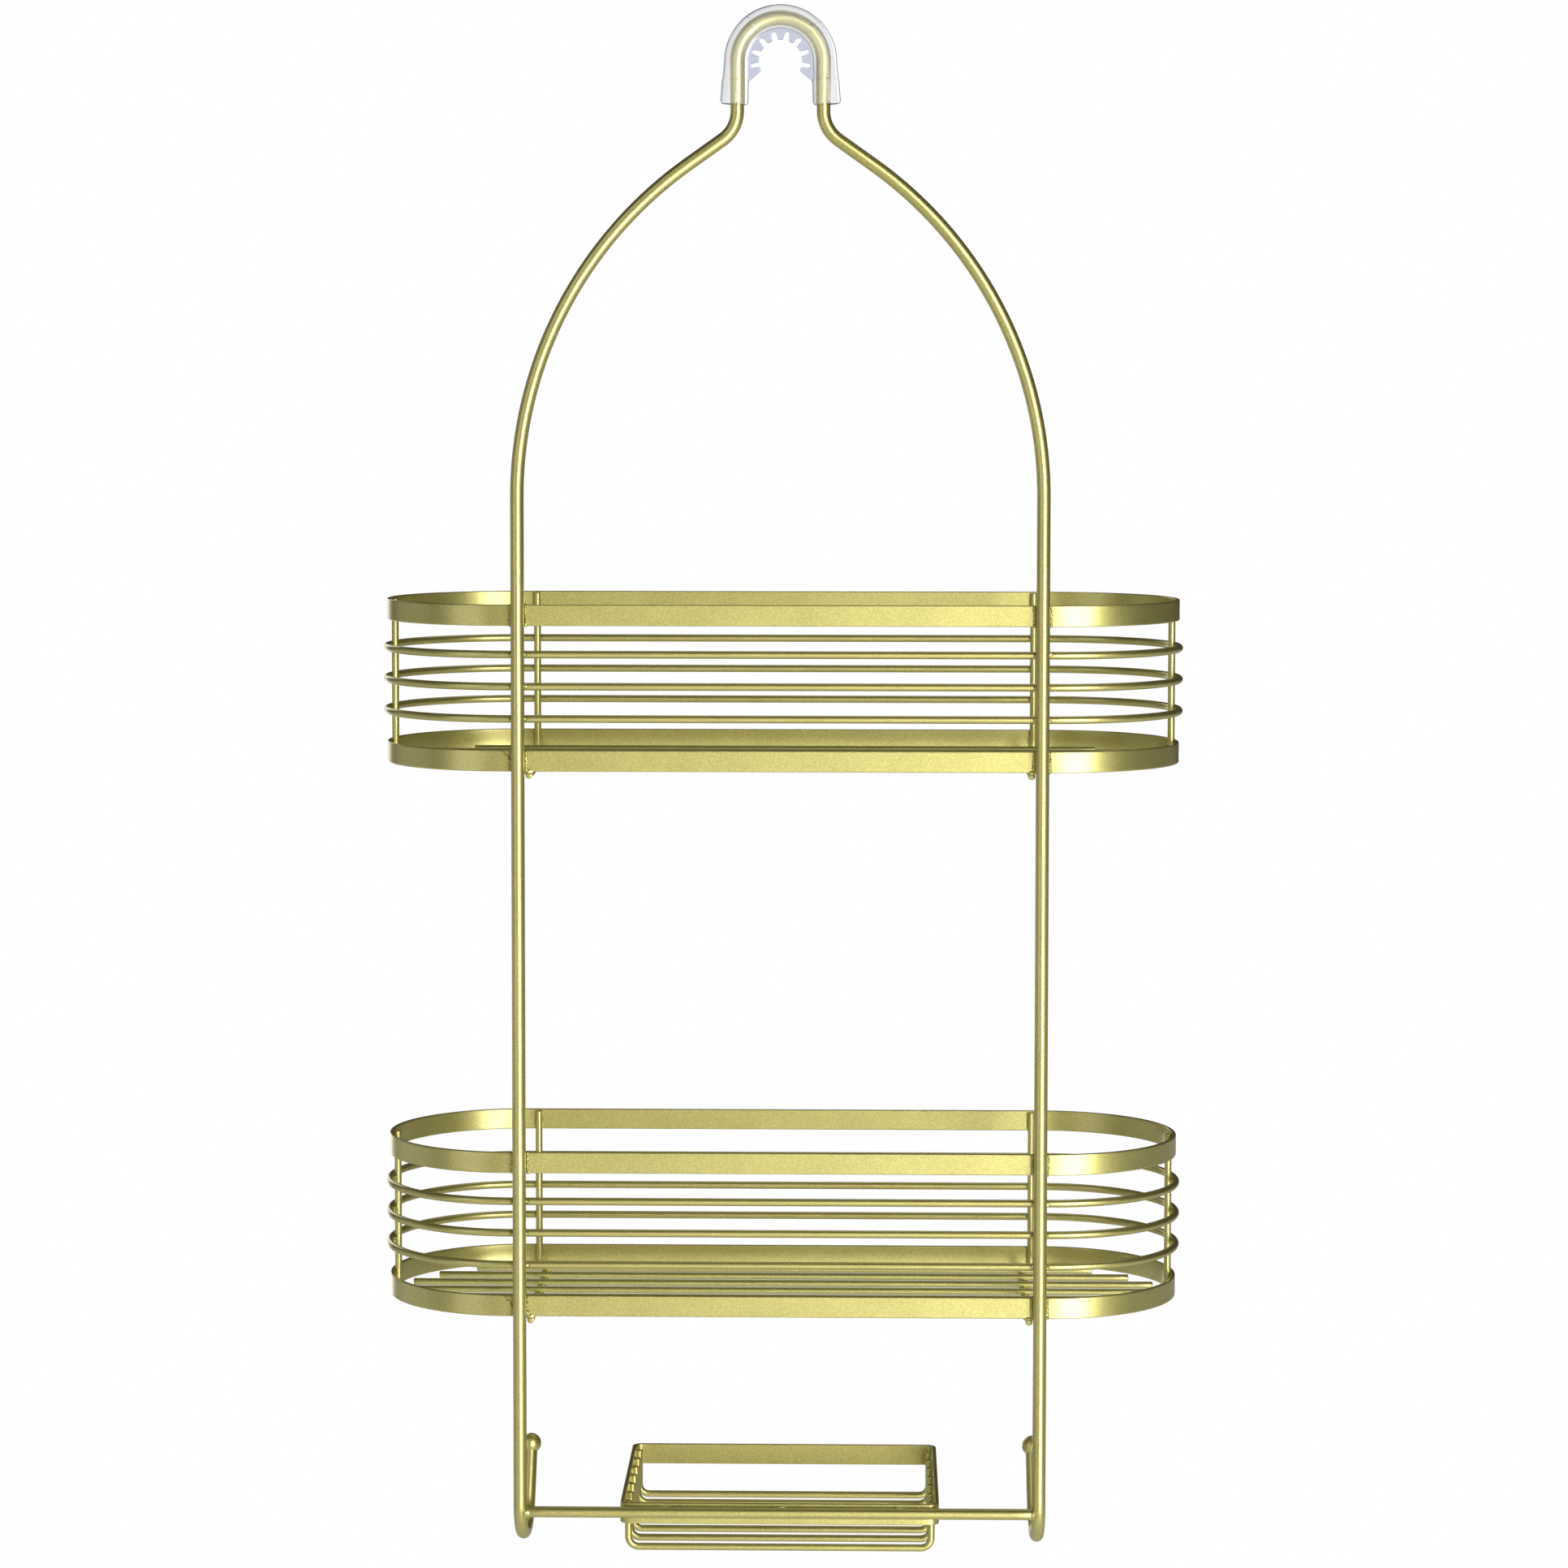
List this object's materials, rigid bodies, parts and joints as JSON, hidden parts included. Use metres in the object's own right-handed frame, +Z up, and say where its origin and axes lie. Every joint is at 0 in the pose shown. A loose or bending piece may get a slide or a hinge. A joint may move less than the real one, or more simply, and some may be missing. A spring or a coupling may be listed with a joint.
{
  "type": "hanging shower caddy",
  "caption": "Bent-wire shower caddy: toothed clear hook sleeve over the arch, oval wire baskets, soap dish on a crossbar and ball-tipped hooks.",
  "frame": {"origin": "centre of the top hook's arch, where the shower arm's axis runs", "axes": "+X to the right seen from the frame side, +Y from the frame wire out to the baskets, +Z up"},
  "size_m": [0.3166, 0.1149, 0.6008],
  "materials": {
    "gold_paint": "metallic champagne-gold paint, satin",
    "clear_sleeve": "clear soft plastic with a faint blue tint"
  },
  "bodies": {
    "root": {"crossbar": "gold_paint", "frame_wire": "gold_paint", "hook_ball_left": "gold_paint", "hook_ball_right": "gold_paint", "hook_sleeve": "clear_sleeve", "lower_bottom_band": "gold_paint", "lower_bottom_band_welds": "gold_paint", "lower_cross_wire_left": "gold_paint", "lower_cross_wire_right": "gold_paint", "lower_end_upright_left": "gold_paint", "lower_end_upright_right": "gold_paint", "lower_floor_wire_1": "gold_paint", "lower_floor_wire_2": "gold_paint", "lower_floor_wire_3": "gold_paint", "lower_floor_wire_4": "gold_paint", "lower_floor_wire_5": "gold_paint", "lower_floor_wire_6": "gold_paint", "lower_outer_upright_left": "gold_paint", "lower_outer_upright_right": "gold_paint", "lower_ring_1": "gold_paint", "lower_ring_2": "gold_paint", "lower_ring_3": "gold_paint", "lower_top_band": "gold_paint", "lower_top_band_welds": "gold_paint", "soap_dish_band": "gold_paint", "soap_dish_wire_1": "gold_paint", "soap_dish_wire_2": "gold_paint", "soap_dish_wire_3": "gold_paint", "soap_dish_wire_4": "gold_paint", "soap_dish_wire_5": "gold_paint", "soap_dish_wire_6": "gold_paint", "soap_dish_wire_7": "gold_paint", "upper_bottom_band": "gold_paint", "upper_bottom_band_welds": "gold_paint", "upper_cross_wire_left": "gold_paint", "upper_cross_wire_right": "gold_paint", "upper_end_upright_left": "gold_paint", "upper_end_upright_right": "gold_paint", "upper_floor_wire_1": "gold_paint", "upper_floor_wire_2": "gold_paint", "upper_floor_wire_3": "gold_paint", "upper_floor_wire_4": "gold_paint", "upper_floor_wire_5": "gold_paint", "upper_floor_wire_6": "gold_paint", "upper_outer_upright_left": "gold_paint", "upper_outer_upright_right": "gold_paint", "upper_ring_1": "gold_paint", "upper_ring_2": "gold_paint", "upper_ring_3": "gold_paint", "upper_top_band": "gold_paint", "upper_top_band_welds": "gold_paint"}
  },
  "joints": []
}
